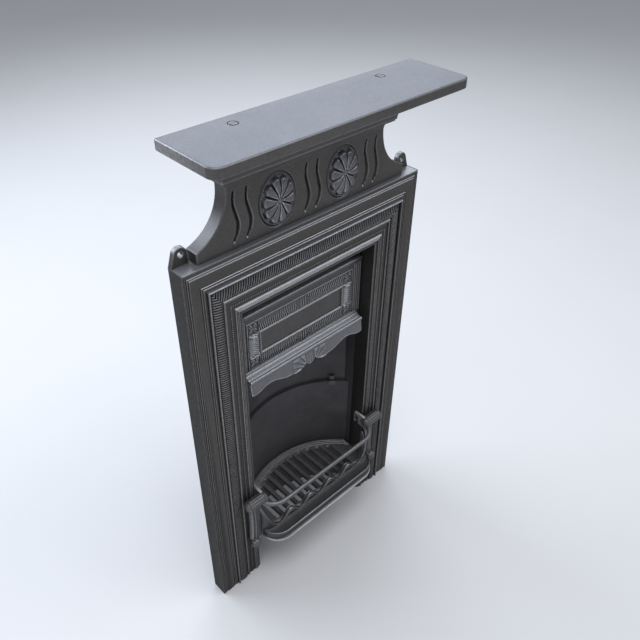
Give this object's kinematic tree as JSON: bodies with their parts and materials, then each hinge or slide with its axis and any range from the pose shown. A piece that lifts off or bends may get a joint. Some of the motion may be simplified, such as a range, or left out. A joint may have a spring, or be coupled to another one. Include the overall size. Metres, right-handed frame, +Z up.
{
  "type": "fireplace",
  "caption": "Tall narrow cast iron fireplace: moulded surround, waisted frieze under a mantel shelf, scalloped hood, bow-front bars, curved fireback, grate and hinged damper.",
  "frame": {"origin": "on the floor, midway between the legs in X and on the wall face that the surround stands against", "axes": "+Z up, -Y out into the room through the fire opening, +Y into the chimney breast, +X to the right as seen from the room"},
  "size_m": [0.5, 0.24, 0.986],
  "materials": {
    "blacked_iron": "satin blackleaded",
    "shelf_iron": "satin blackleaded, lightly polished",
    "firebox_iron": "matt, sand-cast",
    "grate_iron": "matt, sand-cast",
    "fixings": "blackened"
  },
  "bodies": {
    "frame": {"left_jamb": "blacked_iron", "right_jamb": "blacked_iron", "header": "blacked_iron", "frieze_panel": "blacked_iron", "mantel_shelf": "shelf_iron", "shelf_screws": "fixings", "shelf_nuts": "fixings", "frieze_bolts": "fixings", "frieze_nuts": "fixings", "hood": "blacked_iron", "hood_bolts": "fixings", "left_cheek": "firebox_iron", "right_cheek": "firebox_iron", "cheek_bolts": "fixings", "firebox_back": "firebox_iron", "back_bolts": "fixings", "back_nuts": "fixings", "fireback": "firebox_iron", "fireback_clips": "fixings", "clip_screws": "fixings", "register_plate": "firebox_iron", "register_bolts": "fixings", "register_nuts": "fixings", "damper_pin": "fixings", "hanging_studs": "fixings"},
    "damper": {"damper_flap": "firebox_iron"},
    "fire_front": {"front_bars": "blacked_iron", "ash_lip": "blacked_iron", "lip_rivets": "fixings"},
    "grate": {"bottom_grate": "grate_iron"}
  },
  "joints": [
    {"name": "damper_hinge", "type": "hinge", "parent": "frame", "child": "damper", "pos_m": [0, 0.092, 0.6095], "axis": [-1, 0, 0], "range_deg": [0, 100]},
    {"name": "bars_lift", "type": "slide", "parent": "frame", "child": "fire_front", "axis": [0, 0, 1], "range_m": [0, 0.03]},
    {"name": "grate_lift", "type": "slide", "parent": "frame", "child": "grate", "axis": [0, 0, 1], "range_m": [0, 0.03]}
  ]
}
